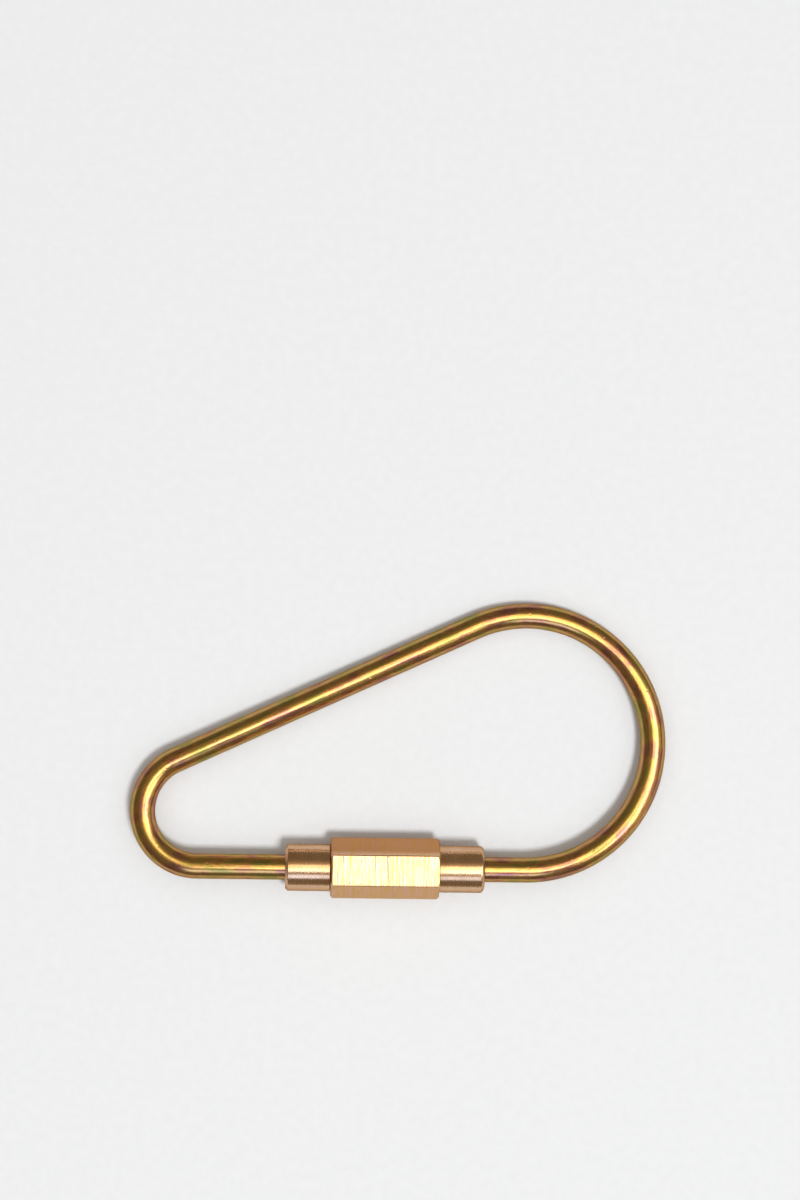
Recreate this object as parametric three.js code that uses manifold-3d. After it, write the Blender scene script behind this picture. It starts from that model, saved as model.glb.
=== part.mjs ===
// Screw-lock carabiner keyring in brass.
//
// A round rod is bent into a pear-shaped loop. Its two ends meet inside a screw barrel: the threaded
// end screws into the barrel's nose, and the plain end runs in a guide collar behind it. A ferrule on
// the plain end stays inside the barrel, so the barrel can't come off the rod, and the screw tightens
// against it. Unscrewed, the barrel draws back along the plain rod and leaves a gap for keys.
//
// Lengths are in millimetres, and +Z is up. The loop lies as it rests on a table: a flat of the hexagon
// is down, and the far side of the loop leans onto the table. +X runs along the barrel, from the small
// bend to the big one. The origin is on the table, under the middle of the keyring's bounding box.

import * as THREE from 'three';
import { mergeVertices } from 'three/addons/utils/BufferGeometryUtils.js';
import Module from 'manifold-3d';

const wasm = await Module();
wasm.setup();

// ---- Driving dimensions ----

// The rod loop, measured to the rod's centre line
const ROD_DIAMETER = 3;
const SMALL_BEND_RADIUS = 6.6;
const BIG_BEND_RADIUS = 15.25;
const BEND_SPACING = 39.3; // between the two bends' centres, along the barrel

// The outside of the barrel and its collars
const HEX_ACROSS_FLATS = 6.35;
const HEX_LENGTH = 13;
const HEX_CORNER_CHAMFER = 0.3;
const COLLAR_DIAMETER = 5.6;
const COLLAR_LENGTH = 5.4;
const GUIDE_RIM_CHAMFER = 0.3;
const NOSE_ROUNDING = { length: 0.5, depth: 0.85 };
const BARREL_SETBACK = 10.55; // from the small bend's centre to the guide collar's rim

// The inside
const THREAD_BORE_DIAMETER = 3.15; // M3, drawn as a plain bore
const THREAD_BORE_LENGTH = 6;
const THREAD_ENGAGEMENT = 3.5;
const CHAMBER_DIAMETER = 4.4;
const GUIDE_BORE_DIAMETER = 3.2;
const SPIGOT_LENGTH = 2;
const FERRULE_DIAMETER = 4.2;
const FERRULE_LENGTH = 1.5;

// The clearances between pieces that touch in the real object
const SEAT_GAP = 0.05; // all round a pressed joint
const STOP_GAP = 0.3; // between the ferrule and the spigot that it stops

// How finely round shapes are cut into flats
const ROD_SIDES = 24;
const TURNED_SIDES = 48;
const DEGREES_PER_BEND_STEP = 10;
const NOSE_STEPS = 4;

// ---- Derived dimensions ----

const rodRadius = ROD_DIAMETER / 2;
const hexCornerRadius = HEX_ACROSS_FLATS / Math.sqrt(3);
const collarRadius = COLLAR_DIAMETER / 2;

// The straight side of the loop, opposite the barrel, is tangent to both bends.
const sideAngle = 2 * Math.atan((BIG_BEND_RADIUS - SMALL_BEND_RADIUS) / BEND_SPACING);

// Places along X, measured from the middle of the loop
const loopLength = SMALL_BEND_RADIUS + BEND_SPACING + BIG_BEND_RADIUS + ROD_DIAMETER;
const smallBendX = -loopLength / 2 + rodRadius + SMALL_BEND_RADIUS;
const bigBendX = smallBendX + BEND_SPACING;
const guideRimX = smallBendX + BARREL_SETBACK;
const hexStartX = guideRimX + COLLAR_LENGTH;
const hexEndX = hexStartX + HEX_LENGTH;
const noseX = hexEndX + COLLAR_LENGTH;
const spigotEndX = hexStartX + SPIGOT_LENGTH;
const plainEndX = spigotEndX + STOP_GAP + FERRULE_LENGTH;
const threadedEndX = noseX - THREAD_ENGAGEMENT;
const chamberEndX = noseX - THREAD_BORE_LENGTH;

// The loop leans about the barrel's axis until its far side is on the table.
const axisZ = HEX_ACROSS_FLATS / 2;
const leanAngle = Math.asin((axisZ - rodRadius) / (2 * BIG_BEND_RADIUS));
const farSideY = 2 * BIG_BEND_RADIUS * Math.cos(leanAngle) + rodRadius;
const axisY = (hexCornerRadius - farSideY) / 2;

// ---- Geometry helpers ----

// A lathe-turned solid round the X axis. Its outline is a list of [place along X, radius].
function turned(outline) {
  const points = outline.map(([x, radius]) => new THREE.Vector2(radius, x));
  const geometry = new THREE.LatheGeometry(points, TURNED_SIDES);
  geometry.rotateZ(-Math.PI / 2);
  return geometry;
}

// A turned sleeve between two places along X, as a closed outline for turned().
function sleeveOutline(startX, endX, innerRadius, outerRadius) {
  return [
    [startX, innerRadius],
    [startX, outerRadius],
    [endX, outerRadius],
    [endX, innerRadius],
    [startX, innerRadius],
  ];
}

// The rounded shoulder of the nose: a quarter of an ellipse, as outline points for turned().
function noseRounding() {
  const points = [];
  for (let step = 0; step <= NOSE_STEPS; step += 1) {
    const angle = (Math.PI / 2) * (step / NOSE_STEPS);
    points.push([
      noseX - NOSE_ROUNDING.length * (1 - Math.sin(angle)),
      collarRadius - NOSE_ROUNDING.depth * (1 - Math.cos(angle)),
    ]);
  }
  return points;
}

// A hexagonal prism along the X axis, with flats at its top and bottom.
function hexPrism(startX, endX, cornerRadius) {
  const sides = 6;
  const length = endX - startX;
  const geometry = new THREE.CylinderGeometry(cornerRadius, cornerRadius, length, sides);
  geometry.rotateZ(-Math.PI / 2);
  geometry.rotateX(Math.PI / 2);
  geometry.translate((startX + endX) / 2, 0, 0);
  return geometry;
}

function toManifold(geometry) {
  const bare = geometry.clone();
  bare.deleteAttribute('normal');
  bare.deleteAttribute('uv');
  const merged = mergeVertices(bare);
  return new wasm.Manifold(new wasm.Mesh({
    numProp: 3,
    vertProperties: new Float32Array(merged.attributes.position.array),
    triVerts: new Uint32Array(merged.index.array),
  }));
}

function fromManifold(solid) {
  const mesh = solid.getMesh();
  const geometry = new THREE.BufferGeometry();
  geometry.setAttribute('position', new THREE.BufferAttribute(mesh.vertProperties, 3));
  geometry.setIndex(new THREE.BufferAttribute(mesh.triVerts, 1));
  geometry.computeVertexNormals();
  return geometry;
}

// ---- The rod ----

// The rod's centre line, in the plane of the loop: y is 0 on the barrel's axis. It runs from the plain
// end, round the small bend, up the straight side, round the big bend and back to the threaded end.
// A straight stretch is one step long, and each quarter of a bend starts a new run of steps, so that
// steps meet at the outermost points of the loop.
class RodPath extends THREE.Curve {
  constructor() {
    super();
    const quarter = Math.PI / 2;
    this.stations = [this.straightStation(plainEndX)];
    this.addBend(smallBendX, SMALL_BEND_RADIUS, -quarter, -2 * quarter);
    this.addBend(smallBendX, SMALL_BEND_RADIUS, 2 * quarter, quarter + sideAngle);
    this.addBend(bigBendX, BIG_BEND_RADIUS, quarter + sideAngle, quarter);
    this.addBend(bigBendX, BIG_BEND_RADIUS, quarter, 0);
    this.addBend(bigBendX, BIG_BEND_RADIUS, 0, -quarter);
    this.stations.push(this.straightStation(threadedEndX));
  }

  straightStation(x) {
    return { point: new THREE.Vector3(x, 0, 0), tangent: new THREE.Vector3(-1, 0, 0) };
  }

  // Adds a clockwise arc from one angle to another. The barrel's axis is tangent to every bend, so a
  // bend's centre is one radius above it.
  addBend(centreX, radius, startAngle, endAngle) {
    const turn = startAngle - endAngle;
    const steps = Math.ceil(THREE.MathUtils.radToDeg(turn) / DEGREES_PER_BEND_STEP);
    for (let step = 0; step <= steps; step += 1) {
      const angle = startAngle - (turn * step) / steps;
      const across = Math.cos(angle);
      const up = Math.sin(angle);
      this.addStation({
        point: new THREE.Vector3(centreX + radius * across, radius + radius * up, 0),
        tangent: new THREE.Vector3(up, -across, 0),
      });
    }
  }

  // Two runs of steps share the station where they meet.
  addStation(station) {
    const last = this.stations.at(-1);
    if (last.point.distanceTo(station.point) > RodPath.SAME_POINT) {
      this.stations.push(station);
    }
  }

  stationAt(t) {
    return this.stations[Math.round(t * this.steps)];
  }

  get steps() {
    return this.stations.length - 1;
  }

  getPoint(t, target = new THREE.Vector3()) {
    return target.copy(this.stationAt(t).point);
  }

  getPointAt(t, target) {
    return this.getPoint(t, target);
  }

  getTangentAt(t, target = new THREE.Vector3()) {
    return target.copy(this.stationAt(t).tangent);
  }
}
RodPath.SAME_POINT = 1e-6;

function rodLoopGeometry() {
  const path = new RodPath();
  const section = new THREE.Shape().absarc(0, 0, rodRadius, 0, 2 * Math.PI);
  return new THREE.ExtrudeGeometry(section, {
    extrudePath: path,
    steps: path.steps,
    curveSegments: ROD_SIDES / 2,
  });
}

// ---- The closure ----

function stopFerruleGeometry() {
  const startX = plainEndX - FERRULE_LENGTH;
  return turned(sleeveOutline(startX, plainEndX, rodRadius + SEAT_GAP, FERRULE_DIAMETER / 2));
}

function guideCollarGeometry() {
  const boreRadius = GUIDE_BORE_DIAMETER / 2;
  const spigotRadius = CHAMBER_DIAMETER / 2 - SEAT_GAP;
  const shoulderX = hexStartX - SEAT_GAP;
  return turned([
    [guideRimX, boreRadius],
    [guideRimX, collarRadius - GUIDE_RIM_CHAMFER],
    [guideRimX + GUIDE_RIM_CHAMFER, collarRadius],
    [shoulderX, collarRadius],
    [shoulderX, spigotRadius],
    [spigotEndX, spigotRadius],
    [spigotEndX, boreRadius],
    [guideRimX, boreRadius],
  ]);
}

function hexBarrelGeometry() {
  const chamferRadius = hexCornerRadius - HEX_CORNER_CHAMFER;
  const cornerTrim = turned([
    [hexStartX, 0],
    [hexStartX, chamferRadius],
    [hexStartX + HEX_CORNER_CHAMFER, hexCornerRadius],
    [hexEndX - HEX_CORNER_CHAMFER, hexCornerRadius],
    [hexEndX, chamferRadius],
    [hexEndX, 0],
  ]);
  const nose = turned([
    [hexStartX, 0],
    [hexStartX, collarRadius],
    ...noseRounding(),
    [noseX, 0],
  ]);
  // The cutters run past the ends that they open.
  const overrun = 1;
  const chamber = turned([
    [hexStartX - overrun, 0],
    [hexStartX - overrun, CHAMBER_DIAMETER / 2],
    [chamberEndX, CHAMBER_DIAMETER / 2],
    [chamberEndX, 0],
  ]);
  const threadBore = turned([
    [hexStartX, 0],
    [hexStartX, THREAD_BORE_DIAMETER / 2],
    [noseX + overrun, THREAD_BORE_DIAMETER / 2],
    [noseX + overrun, 0],
  ]);
  const outside = toManifold(hexPrism(hexStartX, hexEndX, hexCornerRadius))
    .intersect(toManifold(cornerTrim))
    .add(toManifold(nose));
  return fromManifold(outside.subtract(toManifold(chamber)).subtract(toManifold(threadBore)));
}

// ---- Assembly ----

const BRASS = {
  drawnRod: { color: 0xa98a45, roughness: 0.25 },
  turned: { color: 0xc49a4e, roughness: 0.2 },
  hexBar: { color: 0xcfa552, roughness: 0.35 },
};

function named(name, geometry, brass) {
  const mesh = new THREE.Mesh(geometry, new THREE.MeshStandardMaterial({ ...brass, metalness: 1 }));
  mesh.name = name;
  return mesh;
}

// The rod turns about the barrel's axis to lean on the table, and so does the ferrule on its end.
const leaningRod = new THREE.Group();
leaningRod.rotation.x = -leanAngle;
leaningRod.add(
  named('rod_loop', rodLoopGeometry(), BRASS.drawnRod),
  named('stop_ferrule', stopFerruleGeometry(), BRASS.turned),
);

const keyring = new THREE.Group();
keyring.position.set(0, axisY, axisZ);
keyring.add(
  leaningRod,
  named('guide_collar', guideCollarGeometry(), BRASS.turned),
  named('hex_barrel', hexBarrelGeometry(), BRASS.hexBar),
);

export default keyring;
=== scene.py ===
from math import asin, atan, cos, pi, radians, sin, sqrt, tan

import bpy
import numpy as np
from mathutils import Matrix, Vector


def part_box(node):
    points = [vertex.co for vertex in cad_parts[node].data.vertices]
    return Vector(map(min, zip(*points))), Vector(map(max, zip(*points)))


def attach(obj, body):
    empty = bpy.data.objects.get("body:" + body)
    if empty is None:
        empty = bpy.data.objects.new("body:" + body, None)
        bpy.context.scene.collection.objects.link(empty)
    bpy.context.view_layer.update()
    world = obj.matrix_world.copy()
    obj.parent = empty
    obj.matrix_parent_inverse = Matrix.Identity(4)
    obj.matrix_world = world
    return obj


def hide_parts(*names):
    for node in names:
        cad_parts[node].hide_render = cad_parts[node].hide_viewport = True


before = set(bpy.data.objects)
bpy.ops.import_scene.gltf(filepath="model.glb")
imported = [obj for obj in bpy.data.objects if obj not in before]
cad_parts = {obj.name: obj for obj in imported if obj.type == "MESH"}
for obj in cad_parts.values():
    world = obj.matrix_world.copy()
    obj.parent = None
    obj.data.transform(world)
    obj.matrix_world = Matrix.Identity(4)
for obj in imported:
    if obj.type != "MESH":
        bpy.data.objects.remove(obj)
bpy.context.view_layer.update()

# Brass screw-lock carabiner keyring: the looks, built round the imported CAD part.
#
# Each CAD node is replaced by a finer mesh of the same piece, which rides on the same body: the bent
# rod with its real screw thread, the stop ferrule on its plain end, and the two pieces of the barrel.
# Each brass has its own surface: drawn rod, lathe-turned collars, and the scuffed flats of hexagon bar.
#
# Lengths are in metres, in the CAD part's frame: +X runs along the barrel, +Z is up, and the floor is
# at Z = 0.

# ---- Driving dimensions ----

MM = 0.001

# The rod
ROD_RADIUS = 1.5 * MM
ROD_TIP_CHAMFER = 0.25 * MM
SMALL_BEND_RADIUS = 6.6 * MM
BIG_BEND_RADIUS = 15.25 * MM

# The M3 thread. The rod's thread and the barrel's have the same shape, a clearance apart.
THREAD_PITCH = 0.5 * MM
THREAD_DEPTH = 0.28 * MM
THREAD_CREST_RADIUS = 1.48 * MM
THREAD_CLEARANCE = 0.04 * MM
THREAD_RUN_OUT = 0.4 * MM
THREAD_SETBACK = 0.1 * MM  # from the barrel's nose to where the closed rod's thread begins to fade in
THREAD_ENGAGEMENT = 3.5 * MM
THREAD_BORE_LENGTH = 6 * MM
NUT_ROOT_RADIUS = THREAD_CREST_RADIUS + THREAD_CLEARANCE
COUNTERBORE_RADIUS = ROD_RADIUS + 1.5 * THREAD_CLEARANCE

# The closure
HEX_CORNER_TRIM = 0.3 * MM
HEX_EDGE_ROUNDING = 0.2 * MM
GUIDE_BORE_RADIUS = 1.6 * MM
GUIDE_RIM_CHAMFER = 0.3 * MM
GUIDE_MOUTH_CHAMFER = 0.25 * MM
NOSE_ROUNDING_LENGTH = 0.5 * MM
NOSE_ROUNDING_DEPTH = 0.85 * MM
CHAMBER_RADIUS = 2.2 * MM
SEAT_GAP = 0.05 * MM
TURNED_EDGE_ROUNDING = 0.1 * MM

# ---- Places from the frame ----

rod_low, rod_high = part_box("rod_loop")
ferrule_low, ferrule_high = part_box("stop_ferrule")
guide_low, guide_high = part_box("guide_collar")
barrel_low, barrel_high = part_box("hex_barrel")

axis_y = (guide_low.y + guide_high.y) / 2
axis_z = (guide_low.z + guide_high.z) / 2
axis_origin = Vector((0, axis_y, axis_z))
collar_radius = (guide_high.z - guide_low.z) / 2
hex_apothem = (barrel_high.z - barrel_low.z) / 2

small_bend_x = rod_low.x + ROD_RADIUS + SMALL_BEND_RADIUS
big_bend_x = rod_high.x - ROD_RADIUS - BIG_BEND_RADIUS
# The loop leans down from the barrel's axis until the far side of the big bend is on the floor.
lean = asin((axis_z - ROD_RADIUS) / (2 * BIG_BEND_RADIUS))
# How far the loop's straight side turns away from the barrel.
side_angle = 2 * atan((BIG_BEND_RADIUS - SMALL_BEND_RADIUS) / (big_bend_x - small_bend_x))

plain_end_x = ferrule_high.x
guide_rim_x = guide_low.x
spigot_end_x = guide_high.x
hex_start_x = barrel_low.x
nose_x = barrel_high.x
collar_length = hex_start_x - guide_rim_x
hex_end_x = nose_x - collar_length
threaded_end_x = nose_x - THREAD_ENGAGEMENT
chamber_end_x = nose_x - THREAD_BORE_LENGTH

# ---- Mesh helpers ----

ROD_COLUMNS = 72
TURNED_COLUMNS = 144
ROWS_PER_PITCH = 14
SHARP_ANGLE = radians(40)


def ring_piece(name, rings, along, girth, closed, lines_run_along=False):
    """A mesh through a stack of rings: an array of [ring, column, xyz], on the barrel's axis.

    Its UV map is in metres: V follows the lines that the tool or the die left in the metal, and U
    crosses them. along gives each ring's place along the surface, and girth the length round it.
    """
    ring_count, column_count, _ = rings.shape
    last = ring_count if closed else ring_count - 1
    faces = []
    uvs = []
    for ring in range(last):
        upper = (ring + 1) % ring_count
        for column in range(column_count):
            right = (column + 1) % column_count
            faces.append([
                ring * column_count + column,
                ring * column_count + right,
                upper * column_count + right,
                upper * column_count + column,
            ])
            low = along[ring]
            high = along[ring + 1]
            left_place = girth * column / column_count
            right_place = girth * (column + 1) / column_count
            corners = [(low, left_place), (low, right_place), (high, right_place), (high, left_place)]
            uvs.extend(corner[::-1] if lines_run_along else corner for corner in corners)
    if not closed:
        for ring in (0, ring_count - 1):
            cap = [ring * column_count + column for column in range(column_count)]
            faces.append(cap[::-1] if ring == 0 else cap)
            uvs.extend((along[ring], girth * column / column_count) for column in range(column_count))
    mesh = bpy.data.meshes.new(name)
    mesh.from_pydata(rings.reshape(-1, 3).tolist(), [], faces)
    uv_map = mesh.uv_layers.new(name="lines")
    uv_map.data.foreach_set("uv", np.array(uvs, dtype=np.float32).ravel())
    mesh.shade_smooth()
    mesh.set_sharp_from_angle(angle=SHARP_ANGLE)
    piece = bpy.data.objects.new(name, mesh)
    piece.location = axis_origin
    bpy.context.scene.collection.objects.link(piece)
    return piece


def rounded(corners, radius, steps=4):
    """A closed outline with its corners rounded. Points are complex numbers: x + radius * 1j.

    A support point on each side of a rounding keeps the shading of the straight parts flat.
    """
    support = radius / 2
    points = []
    for before, corner, after in zip(np.roll(corners, 1), corners, np.roll(corners, -1)):
        arriving = (corner - before) / abs(corner - before)
        leaving = (after - corner) / abs(after - corner)
        turn = np.angle(leaving / arriving)
        reach = radius * tan(abs(turn) / 2)
        start = corner - arriving * reach
        centre = start + 1j * np.sign(turn) * arriving * radius
        points.append(start - arriving * support)
        points.extend(centre + (start - centre) * np.exp(1j * turn * k / steps) for k in range(steps + 1))
        points.append(corner + leaving * (reach + support))
    return np.array(points)


def distances(outline):
    """How far along a closed outline each point is, and the whole length last."""
    steps = np.abs(np.roll(outline, -1) - outline)
    return np.concatenate([[0], np.cumsum(steps)])


def lathe_rings(outline, angles, shape=None):
    """Turns an outline round the X axis. shape(x, radius, angles) can change a ring's radius."""
    rings = []
    for point in outline:
        radius = np.full(len(angles), point.imag)
        if shape is not None:
            radius = shape(point.real, radius, angles)
        x = np.full(len(angles), point.real)
        rings.append(np.stack([x, radius * np.cos(angles), radius * np.sin(angles)], axis=1))
    return np.array(rings)


def filled(start, end, step):
    """Evenly spaced outline points from start up to, but without, end."""
    count = max(1, round(abs(end - start) / step))
    return [start + (end - start) * k / count for k in range(count)]


def full_circle(columns):
    return 2 * pi * np.arange(columns) / columns


def thread_groove(x, angles):
    """How deep the thread is cut, from 0 at its crest to 1 at its root, for a right-hand thread."""
    crest_share = 1 / 8
    root_share = 1 / 4
    phase = x / THREAD_PITCH - angles / (2 * pi)
    from_crest = 2 * np.abs(phase - np.round(phase))
    return np.clip((from_crest - crest_share) / (1 - crest_share - root_share), 0, 1)


# ---- Materials ----

# The Mix node's colour sockets share their names with its other sockets, so they go by number.
MIX_COLOUR_A = 6
MIX_COLOUR_B = 7
MIX_COLOUR_RESULT = 2

BRASS_EDGE_TINT = (0.45, 0.36, 0.28)  # dims the reflections at grazing angles


class Nodes:
    """Short calls for building a material's node tree."""

    def __init__(self, name):
        self.material = bpy.data.materials.new(name)
        self.material.use_nodes = True
        self.tree = self.material.node_tree
        self.shader = self.tree.nodes["Principled BSDF"]

    def add(self, kind, inputs=None, **settings):
        node = self.tree.nodes.new(kind)
        for key, value in settings.items():
            setattr(node, key, value)
        for key, value in (inputs or {}).items():
            self.set(node.inputs[key], value)
        return node

    def set(self, socket, value):
        if isinstance(value, bpy.types.NodeSocket):
            self.tree.links.new(value, socket)
        else:
            socket.default_value = value

    def math(self, operation, *values):
        node = self.add("ShaderNodeMath", operation=operation)
        for socket, value in zip(node.inputs, values):
            self.set(socket, value)
        return node.outputs[0]

    def vector(self, x, y, z):
        return self.add("ShaderNodeCombineXYZ", {"X": x, "Y": y, "Z": z}).outputs[0]

    def noise(self, vector, scale, detail=2.0, roughness=0.5):
        inputs = {"Vector": vector, "Scale": scale, "Detail": detail, "Roughness": roughness}
        return self.add("ShaderNodeTexNoise", inputs).outputs["Fac"]

    def ramp(self, value, *stops):
        """A colour ramp. Each stop is (place, colour)."""
        node = self.add("ShaderNodeValToRGB", {"Fac": value})
        elements = node.color_ramp.elements
        while len(elements) < len(stops):
            elements.new(0.5)
        for element, (place, colour) in zip(elements, stops):
            element.position = place
            element.color = (*colour, 1)
        return node.outputs["Color"]

    def fit(self, value, low, high, new_low, new_high):
        """Maps one range of numbers to another, and stops at its ends."""
        inputs = {
            "Value": value, "From Min": low, "From Max": high, "To Min": new_low, "To Max": new_high,
        }
        return self.add("ShaderNodeMapRange", inputs).outputs["Result"]

    def tint(self, base, factor, colour):
        """Goes from a base to one plain colour as the factor goes from 0 to 1."""
        node = self.add("ShaderNodeMix", data_type="RGBA")
        self.set(node.inputs["Factor"], factor)
        self.set(node.inputs[MIX_COLOUR_A], base)
        self.set(node.inputs[MIX_COLOUR_B], (*colour, 1))
        return node.outputs[MIX_COLOUR_RESULT]

    def bump(self, height, distance, onto=None):
        inputs = {"Height": height, "Distance": distance, "Strength": 1.0}
        if onto is not None:
            inputs["Normal"] = onto
        return self.add("ShaderNodeBump", inputs).outputs["Normal"]


def finish_brass(nodes, colour, roughness, anisotropy, normal):
    """Metal whose highlight spreads across the lines in it, which is along U."""
    shader = nodes.shader
    shader.inputs["Metallic"].default_value = 1.0
    shader.inputs["Specular Tint"].default_value = (*BRASS_EDGE_TINT, 1)
    shader.inputs["Anisotropic"].default_value = anisotropy
    nodes.set(shader.inputs["Base Color"], colour)
    nodes.set(shader.inputs["Roughness"], roughness)
    nodes.set(shader.inputs["Normal"], normal)
    tangent = nodes.add("ShaderNodeTangent", direction_type="UV_MAP", uv_map="lines")
    nodes.set(shader.inputs["Tangent"], tangent.outputs[0])
    return nodes.material


def drawn_brass():
    """Drawn rod: fine lines along it, mottling from plum to green, and a few nicks."""
    plum = (0.35, 0.15, 0.14)
    brown = (0.42, 0.20, 0.12)
    amber = (0.54, 0.32, 0.12)
    olive = (0.38, 0.29, 0.09)
    green = (0.26, 0.26, 0.08)
    bright_line = (0.62, 0.37, 0.14)
    nodes = Nodes("drawn_brass")
    place = nodes.add("ShaderNodeAttribute", attribute_name="drawn").outputs["Vector"]
    across, up, along = nodes.add("ShaderNodeSeparateXYZ", {"Vector": place}).outputs
    stretched = nodes.vector(across, up, nodes.math("MULTIPLY", along, 0.02))
    lines = nodes.noise(stretched, 6000, detail=3, roughness=0.6)
    cloudy = nodes.vector(across, up, nodes.math("MULTIPLY", along, 0.35))
    clouds = nodes.noise(cloudy, 800, detail=4, roughness=0.6)
    colour = nodes.ramp(clouds, (0.36, plum), (0.42, brown), (0.5, amber), (0.58, olive), (0.66, green))
    colour = nodes.tint(colour, nodes.fit(lines, 0.4, 0.65, 0.0, 0.4), bright_line)
    roughness = nodes.fit(clouds, 0.3, 0.7, 0.19, 0.24)
    nicks = nodes.noise(place, 1500, detail=1)
    normal = nodes.bump(lines, 4e-6)
    normal = nodes.bump(nodes.fit(nicks, 0.22, 0.28, 0.0, 1.0), 10e-6, onto=normal)
    return finish_brass(nodes, colour, roughness, 0.4, normal)


def lined_place(nodes, slow):
    """Coordinates for lines that run round the barrel: U crosses them, and Y and Z run slowly along."""
    along = nodes.add("ShaderNodeUVMap", uv_map="lines").outputs["UV"]
    u = nodes.add("ShaderNodeSeparateXYZ", {"Vector": along}).outputs["X"]
    place = nodes.add("ShaderNodeTexCoord").outputs["Object"]
    parts = nodes.add("ShaderNodeSeparateXYZ", {"Vector": place}).outputs
    slow_y = nodes.math("MULTIPLY", parts["Y"], slow)
    slow_z = nodes.math("MULTIPLY", parts["Z"], slow)
    return nodes.vector(u, slow_y, slow_z), place


def turned_brass():
    """Lathe-turned collars: bright, with fine lines round them."""
    darker = (0.66, 0.41, 0.25)
    lighter = (0.72, 0.48, 0.31)
    nodes = Nodes("turned_brass")
    lined, place = lined_place(nodes, slow=0.06)
    coarse = nodes.noise(lined, 3000, detail=1)
    lines = nodes.noise(lined, 8000, detail=3, roughness=0.65)
    clouds = nodes.noise(place, 500, detail=3)
    colour = nodes.ramp(clouds, (0.35, darker), (0.65, lighter))
    roughness = nodes.fit(lines, 0.3, 0.7, 0.24, 0.3)
    normal = nodes.bump(lines, 1e-6)
    normal = nodes.bump(coarse, 2e-6, onto=normal)
    return finish_brass(nodes, colour, roughness, 0.75, normal)


def hex_bar_brass():
    """Hexagon bar: flats scuffed straight across, with deeper scratches, and painted shade that makes its
    +Y side redder and darker.
    """
    golden = (0.70, 0.43, 0.14)
    pale_gold = (0.73, 0.46, 0.20)
    pink_line = (0.74, 0.48, 0.37)
    # Painted shade: past Y = 1.9 mm the flats turn redder and darker, standing in for the shaded floor that
    # they reflect.
    painted_shade = (0.42, 0.17, 0.05)
    painted_shade_start_y = 1.9 * MM
    painted_shade_full_y = 2.3 * MM
    painted_shade_strength = 0.72
    nodes = Nodes("hex_bar_brass")
    lined, place = lined_place(nodes, slow=0.025)
    coarse = nodes.noise(lined, 5500, detail=2)
    lines = nodes.noise(lined, 10000, detail=4, roughness=0.7)
    clouds = nodes.noise(place, 450, detail=3)
    colour = nodes.ramp(clouds, (0.35, golden), (0.65, pale_gold))
    colour = nodes.tint(colour, nodes.fit(lines, 0.43, 0.57, 0.0, 1.0), pink_line)
    # The painted shade on the +Y side, mixed over the flats' colour.
    across = nodes.add("ShaderNodeSeparateXYZ", {"Vector": place}).outputs["Y"]
    painted_shade_amount = nodes.fit(across, painted_shade_start_y, painted_shade_full_y, 0.0, painted_shade_strength)
    colour = nodes.tint(colour, painted_shade_amount, painted_shade)
    scratches = nodes.noise(lined, 2600, detail=1)
    deep = nodes.fit(scratches, 0.68, 0.74, 0.0, 1.0)
    roughness = nodes.fit(lines, 0.3, 0.7, 0.16, 0.28)
    normal = nodes.bump(lines, 20e-6)
    normal = nodes.bump(coarse, 40e-6, onto=normal)
    normal = nodes.bump(deep, 20e-6, onto=normal)
    return finish_brass(nodes, colour, roughness, 0.6, normal)


def pale_floor():
    """A matt white surface with a faint grain."""
    darker = (0.79, 0.79, 0.79)
    lighter = (0.81, 0.81, 0.81)
    nodes = Nodes("pale_floor")
    place = nodes.add("ShaderNodeTexCoord").outputs["Object"]
    grain = nodes.noise(place, 900, detail=2)
    nodes.set(nodes.shader.inputs["Base Color"], nodes.ramp(grain, (0.3, darker), (0.7, lighter)))
    nodes.shader.inputs["Roughness"].default_value = 0.9
    nodes.shader.inputs["Specular IOR Level"].default_value = 0.1
    return nodes.material


MATERIALS = {
    "drawn_brass": drawn_brass(),
    "turned_brass": turned_brass(),
    "hex_bar_brass": hex_bar_brass(),
    "pale_floor": pale_floor(),
}

# ---- The rod ----


def rod_stations():
    """The rod's centre line in the loop's own plane, as (place along it, point, direction).

    It runs from the plain end, round the small bend, up the straight side, round the big bend and
    back to the threaded end, as it does in the CAD part. The ends lie on y = 0, the barrel's axis, and
    each bend's centre is its own radius above that.
    """
    bend_step = 0.35 * MM
    same_place = 1e-9
    stations = []
    travelled = 0.0

    def add(x, y, direction):
        nonlocal travelled
        point = np.array([x, y, 0.0])
        if stations:
            travelled += np.linalg.norm(point - stations[-1][1])
        if not stations or travelled - stations[-1][0] > same_place:
            stations.append((travelled, point, np.array([*direction, 0.0])))

    def straight(start_x, end_x, step):
        for x in np.linspace(start_x, end_x, max(2, round(abs(end_x - start_x) / step) + 1)):
            add(x, 0, (-1, 0))

    def bend(centre_x, radius, start, end):
        for angle in np.linspace(start, end, round(radius * abs(end - start) / bend_step) + 1):
            x = centre_x + radius * cos(angle)
            y = radius + radius * sin(angle)
            add(x, y, (sin(angle), -cos(angle)))

    straight(plain_end_x, plain_end_x - ROD_TIP_CHAMFER, step=ROD_TIP_CHAMFER / 4)
    straight(plain_end_x - ROD_TIP_CHAMFER, small_bend_x, step=2 * MM)
    bend(small_bend_x, SMALL_BEND_RADIUS, -pi / 2, -3 * pi / 2 + side_angle)
    bend(big_bend_x, BIG_BEND_RADIUS, pi / 2 + side_angle, -pi / 2)
    straight(big_bend_x, nose_x, step=1 * MM)
    straight(nose_x, threaded_end_x, step=THREAD_PITCH / ROWS_PER_PITCH)
    return stations


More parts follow.
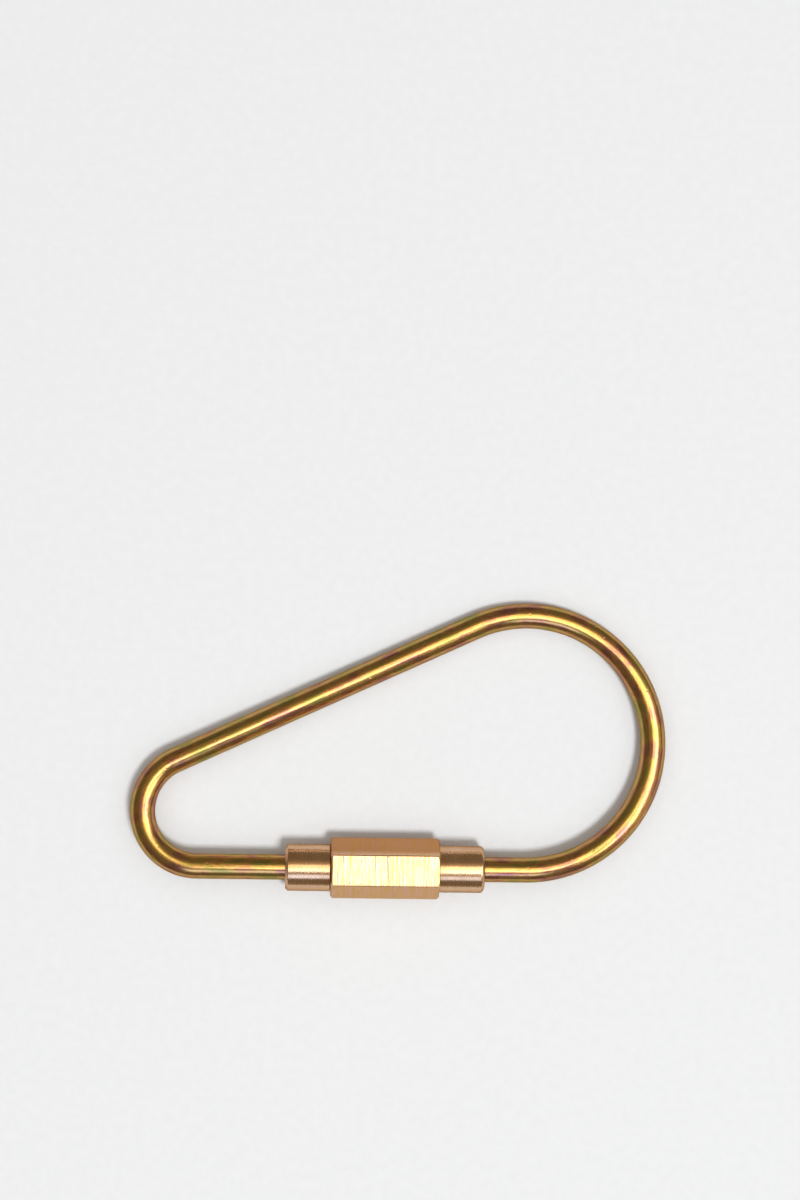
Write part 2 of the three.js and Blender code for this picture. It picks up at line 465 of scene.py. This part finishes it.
def rod_radius(along, x, total, angles):
    """The rod's radius round one ring: plain, or cut by the thread near its threaded end."""
    radius = np.full(len(angles), ROD_RADIUS)
    left = total - along
    thread_length = THREAD_ENGAGEMENT - THREAD_SETBACK
    if left < thread_length:
        # The lean turns the rod, and so its thread, about the barrel's axis.
        groove = thread_groove(x, angles - lean)
        cut = THREAD_CREST_RADIUS - THREAD_DEPTH * groove
        fade = np.clip((thread_length - left) / THREAD_RUN_OUT, 0, 1)
        radius = ROD_RADIUS + (cut - ROD_RADIUS) * fade
    from_end = min(along, left)
    return np.minimum(radius, ROD_RADIUS - ROD_TIP_CHAMFER + from_end)


def make_rod():
    stations = rod_stations()
    total = stations[-1][0]
    angles = full_circle(ROD_COLUMNS)
    # On the straights, sideways is -Y. The thread needs the angle about +X, from +Y.
    about_x = np.arctan2(np.sin(angles), -np.cos(angles))
    up = np.array([0.0, 0.0, 1.0])
    rings = []
    for along, point, direction in stations:
        sideways = np.cross(up, direction)
        radius = rod_radius(along, point[0], total, about_x)
        across = np.outer(radius * np.cos(angles), sideways) + np.outer(radius * np.sin(angles), up)
        rings.append(point + across)
    rings = np.array(rings)
    along = [station[0] for station in stations]
    rod = ring_piece("brass_rod", rings, along, 2 * pi * ROD_RADIUS, closed=False, lines_run_along=True)
    rod.data.transform(Matrix.Rotation(-lean, 4, "X"))

    # Where each vertex is in the rod's own section, so that lines run true round the bends.
    section = np.zeros((len(along), ROD_COLUMNS, 3))
    section[:, :, 0] = ROD_RADIUS * np.cos(angles)
    section[:, :, 1] = ROD_RADIUS * np.sin(angles)
    section[:, :, 2] = np.array(along)[:, None]
    attribute = rod.data.attributes.new("drawn", "FLOAT_VECTOR", "POINT")
    attribute.data.foreach_set("vector", section.astype(np.float32).ravel())
    return rod


# ---- The closure ----


def make_ferrule():
    """The head on the plain rod end, inside the chamber."""
    bore_radius = ROD_RADIUS + SEAT_GAP
    ferrule_radius = (ferrule_high.z - ferrule_low.z) / 2
    outline = rounded(np.array([
        ferrule_low.x + bore_radius * 1j,
        ferrule_low.x + ferrule_radius * 1j,
        ferrule_high.x + ferrule_radius * 1j,
        ferrule_high.x + bore_radius * 1j,
    ]), TURNED_EDGE_ROUNDING)
    rings = lathe_rings(outline, full_circle(TURNED_COLUMNS))
    return ring_piece("brass_stop_ferrule", rings, distances(outline), 2 * pi * ferrule_radius, closed=True)


def make_guide_collar():
    """The collar that runs on the plain rod, with the spigot that closes the chamber."""
    shoulder_x = hex_start_x - SEAT_GAP
    spigot_radius = CHAMBER_RADIUS - SEAT_GAP
    outline = rounded(np.array([
        guide_rim_x + (GUIDE_BORE_RADIUS + GUIDE_MOUTH_CHAMFER) * 1j,
        guide_rim_x + (collar_radius - GUIDE_RIM_CHAMFER) * 1j,
        guide_rim_x + GUIDE_RIM_CHAMFER + collar_radius * 1j,
        shoulder_x + collar_radius * 1j,
        shoulder_x + spigot_radius * 1j,
        spigot_end_x + spigot_radius * 1j,
        spigot_end_x + GUIDE_BORE_RADIUS * 1j,
        guide_rim_x + GUIDE_MOUTH_CHAMFER + GUIDE_BORE_RADIUS * 1j,
    ]), TURNED_EDGE_ROUNDING)
    rings = lathe_rings(outline, full_circle(TURNED_COLUMNS))
    return ring_piece("brass_guide_collar", rings, distances(outline), 2 * pi * collar_radius, closed=True)


def hex_angles():
    """Column angles for the hexagon: close together round each rounded corner, even along the flats."""
    corner_centre = (hex_apothem - HEX_EDGE_ROUNDING) / cos(pi / 6)
    tangent = atan(HEX_EDGE_ROUNDING * sin(pi / 6) / (corner_centre + HEX_EDGE_ROUNDING * cos(pi / 6)))
    corner_columns = 7
    flat_columns = 18
    round_corner = np.linspace(-tangent, tangent, corner_columns)
    support = 1.5 * tangent
    flat = np.linspace(support, pi / 3 - support, flat_columns)
    return np.concatenate([corner * pi / 3 + np.concatenate([round_corner, flat]) for corner in range(6)])


def hex_radius(angles, inset):
    """The distance from the axis to a hexagon with rounded corners. One corner is at angle 0."""
    apothem = hex_apothem - inset
    from_corner = np.abs(angles - np.round(angles / (pi / 3)) * pi / 3)
    flat = apothem / np.cos(pi / 6 - from_corner)
    centre = (apothem - HEX_EDGE_ROUNDING) / cos(pi / 6)
    inside = np.maximum(HEX_EDGE_ROUNDING ** 2 - (centre * np.sin(from_corner)) ** 2, 0)
    corner = centre * np.cos(from_corner) + np.sqrt(inside)
    return np.minimum(flat, np.where(inside > 0, corner, flat))


def nut_radius(x, angles):
    """The radius of the barrel's bore: threaded, and opening into a small counterbore at the nose."""
    thread = NUT_ROOT_RADIUS - THREAD_DEPTH * thread_groove(x, angles)
    mouth_start_x = nose_x - THREAD_SETBACK - THREAD_RUN_OUT
    mouth = NUT_ROOT_RADIUS - (mouth_start_x - x)
    return np.maximum(thread, np.minimum(mouth, COUNTERBORE_RADIUS))


def barrel_shape(x, radius, angles):
    """Cuts a ring to the hexagon with its rounded ends, and cuts the thread in the bore."""
    if radius[0] < GUIDE_BORE_RADIUS:
        return nut_radius(x, angles)
    if radius[0] <= collar_radius:
        return radius
    from_end = min(x - hex_start_x, hex_end_x - x)
    to_edge = np.clip(HEX_EDGE_ROUNDING - from_end, 0, HEX_EDGE_ROUNDING)
    inset = HEX_EDGE_ROUNDING - sqrt(HEX_EDGE_ROUNDING ** 2 - to_edge ** 2)
    trim = hex_apothem / cos(pi / 6) - HEX_CORNER_TRIM + from_end
    return np.minimum(np.minimum(radius, trim), hex_radius(angles, inset))


def hex_rows():
    """Where the hexagon's rings are along X: close together over its rounded and trimmed ends."""
    rounding_steps = 6
    trim_steps = 4
    support = 0.05 * MM
    edge = [
        HEX_EDGE_ROUNDING * (1 - cos(angle))
        for angle in np.linspace(0, pi / 2, rounding_steps + 1)
    ]
    trim = np.linspace(HEX_EDGE_ROUNDING, HEX_CORNER_TRIM, trim_steps + 1)[1:]
    from_end = np.array([*edge, *trim, HEX_CORNER_TRIM + support])
    return np.concatenate([hex_start_x + from_end, (hex_end_x - from_end)[::-1]])


def nose_outline():
    """The nose's rounding, from the side of its collar to its flat end."""
    steps = 10
    return [
        nose_x - NOSE_ROUNDING_LENGTH * (1 - sin(angle))
        + 1j * (collar_radius - NOSE_ROUNDING_DEPTH * (1 - cos(angle)))
        for angle in np.linspace(0, pi / 2, steps + 1)
    ]


def make_hex_barrel():
    """The barrel: hexagon, nose collar, threaded bore and chamber, in one closed outline."""
    beyond_corners = 4 * MM  # barrel_shape cuts these rings back to the hexagon
    support = 0.03 * MM
    nose_support = 0.1 * MM
    thread_row = THREAD_PITCH / ROWS_PER_PITCH
    nose = nose_outline()
    outline = np.array([
        hex_start_x + CHAMBER_RADIUS * 1j,
        hex_start_x + collar_radius * 1j,
        *(hex_rows() + beyond_corners * 1j),
        hex_end_x + collar_radius * 1j,
        hex_end_x + support + collar_radius * 1j,
        nose[0] - support,
        *nose,
        nose_x + (NUT_ROOT_RADIUS + nose_support) * 1j,
        *filled(nose_x + NUT_ROOT_RADIUS * 1j, chamber_end_x + NUT_ROOT_RADIUS * 1j, thread_row),
        chamber_end_x + NUT_ROOT_RADIUS * 1j,
        chamber_end_x + CHAMBER_RADIUS * 1j,
        chamber_end_x - support + CHAMBER_RADIUS * 1j,
        hex_start_x + support + CHAMBER_RADIUS * 1j,
    ])
    rings = lathe_rings(outline, hex_angles(), barrel_shape)
    barrel = ring_piece("brass_hex_barrel", rings, distances(outline), 2 * pi * collar_radius, closed=True)
    paint_barrel(barrel)
    return barrel


def paint_barrel(barrel):
    """Hexagon bar where the barrel stands out past its collar, and turned brass everywhere else."""
    barrel.data.materials.append(MATERIALS["hex_bar_brass"])
    barrel.data.materials.append(MATERIALS["turned_brass"])
    hex_material = 0
    turned_material = 1
    for face in barrel.data.polygons:
        is_hexagon = face.center.yz.length > collar_radius + TURNED_EDGE_ROUNDING
        face.material_index = hex_material if is_hexagon else turned_material


# ---- The pieces ----

PIECES = [
    # make, body, CAD node, slot
    (make_rod, "loop", "rod_loop", "drawn_brass"),
    (make_ferrule, "loop", "stop_ferrule", "turned_brass"),
    (make_guide_collar, "guide", "guide_collar", "turned_brass"),
    (make_hex_barrel, "barrel", "hex_barrel", "hex_bar_brass"),
]
for make, body, node, slot_name in PIECES:
    piece = make()
    if not piece.data.materials:
        piece.data.materials.append(MATERIALS[slot_name])
    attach(piece, body)
    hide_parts(node)

# ---- Floor ----

FLOOR_SIZE = 6.0


def make_floor():
    half = FLOOR_SIZE / 2
    corners = [(-half, -half, 0), (half, -half, 0), (half, half, 0), (-half, half, 0)]
    mesh = bpy.data.meshes.new("floor")
    mesh.from_pydata(corners, [], [(0, 1, 2, 3)])
    mesh.materials.append(MATERIALS["pale_floor"])
    piece = bpy.data.objects.new("floor", mesh)
    bpy.context.scene.collection.objects.link(piece)
    return piece


floor = make_floor()

# ---- Light ----
#
# One set of lights is seen in the brass and the other lights the floor. Keeping the two apart lets the
# floor be pale and even under small bright reflections.

BRASS_LIGHTS = [
    # name, tilt toward +X and +Y in degrees, distance, size along X and Y, radiance, colour
    ("key", (33, -5), 0.6, (0.26, 0.46), 5.0, (1.0, 0.97, 0.9)),
    ("side", (60, -18), 0.6, (0.35, 0.80), 0.55, (1.0, 0.8, 0.5)),
    ("overhead", (5, -8), 0.6, (0.18, 0.15), 5.5, (1.0, 0.97, 0.9)),
    ("golden", (10, 9), 0.6, (0.26, 0.18), 3.0, (1.0, 0.92, 0.58)),
    ("front", (0, -40), 0.6, (0.26, 0.20), 2.0, (0.82, 1.0, 1.4)),
    ("glow", (2, 14), 0.9, (1.5, 0.66), 0.22, (1.0, 0.68, 0.30)),
]
FLOOR_LIGHTS = [
    ("shadow_light", (10, -10), 1.5, (0.28, 0.28), 56.0, (0.96, 1.0, 1.03)),
    ("room", (0, 0), 1.5, (3.0, 3.0), 0.60, (0.93, 1.0, 1.12)),
]
WORLD_COLOUR = (0.21, 0.17, 0.11)


def softbox(name, tilt, distance, size, radiance, colour, seen_in_brass):
    """A soft light that faces the barrel, from straight above but for its tilt.

    Radiance is the brightness of its face, so a light keeps its looks in the brass when its size changes.
    """
    width, depth = size
    light = bpy.data.lights.new(name, "AREA")
    light.shape = "RECTANGLE"
    light.size = width
    light.size_y = depth
    light.energy = radiance * pi * width * depth
    light.color = colour
    lamp = bpy.data.objects.new(name, light)
    toward_x, toward_y = (radians(degrees) for degrees in tilt)
    turn = Matrix.Rotation(-toward_y, 4, "X") @ Matrix.Rotation(toward_x, 4, "Y")
    lamp.matrix_world = Matrix.Translation(axis_origin) @ turn @ Matrix.Translation((0, 0, distance))
    lamp.visible_camera = False
    lamp.visible_glossy = seen_in_brass
    lamp.visible_diffuse = not seen_in_brass
    bpy.context.scene.collection.objects.link(lamp)


for settings in BRASS_LIGHTS:
    softbox(*settings, seen_in_brass=True)
for settings in FLOOR_LIGHTS:
    softbox(*settings, seen_in_brass=False)

world = bpy.data.worlds.new("world")
world.use_nodes = True
world.node_tree.nodes["Background"].inputs["Color"].default_value = (*WORLD_COLOUR, 1)
bpy.context.scene.world = world
bpy.context.scene.view_settings.view_transform = "Standard"

# ---- Camera ----

CAMERA_DISTANCE = 0.310
CAMERA_LEAN = radians(-2.22)
CAMERA_ROLL = radians(0.94)
CAMERA_AIM = Vector((-0.24 * MM, 18 * MM, axis_z))
CAMERA_LENS = 77.68
CAMERA_NEAREST = 0.01
CAMERA_FARTHEST = 20

camera_data = bpy.data.cameras.new("camera")
camera_data.lens = CAMERA_LENS
camera_data.clip_start = CAMERA_NEAREST
camera_data.clip_end = CAMERA_FARTHEST
camera = bpy.data.objects.new("camera", camera_data)
aim = Matrix.Rotation(CAMERA_LEAN, 4, "Y") @ Matrix.Rotation(CAMERA_ROLL, 4, "Z")
camera.matrix_world = Matrix.Translation(CAMERA_AIM) @ aim @ Matrix.Translation((0, 0, CAMERA_DISTANCE))
bpy.context.scene.collection.objects.link(camera)
bpy.context.scene.camera = camera
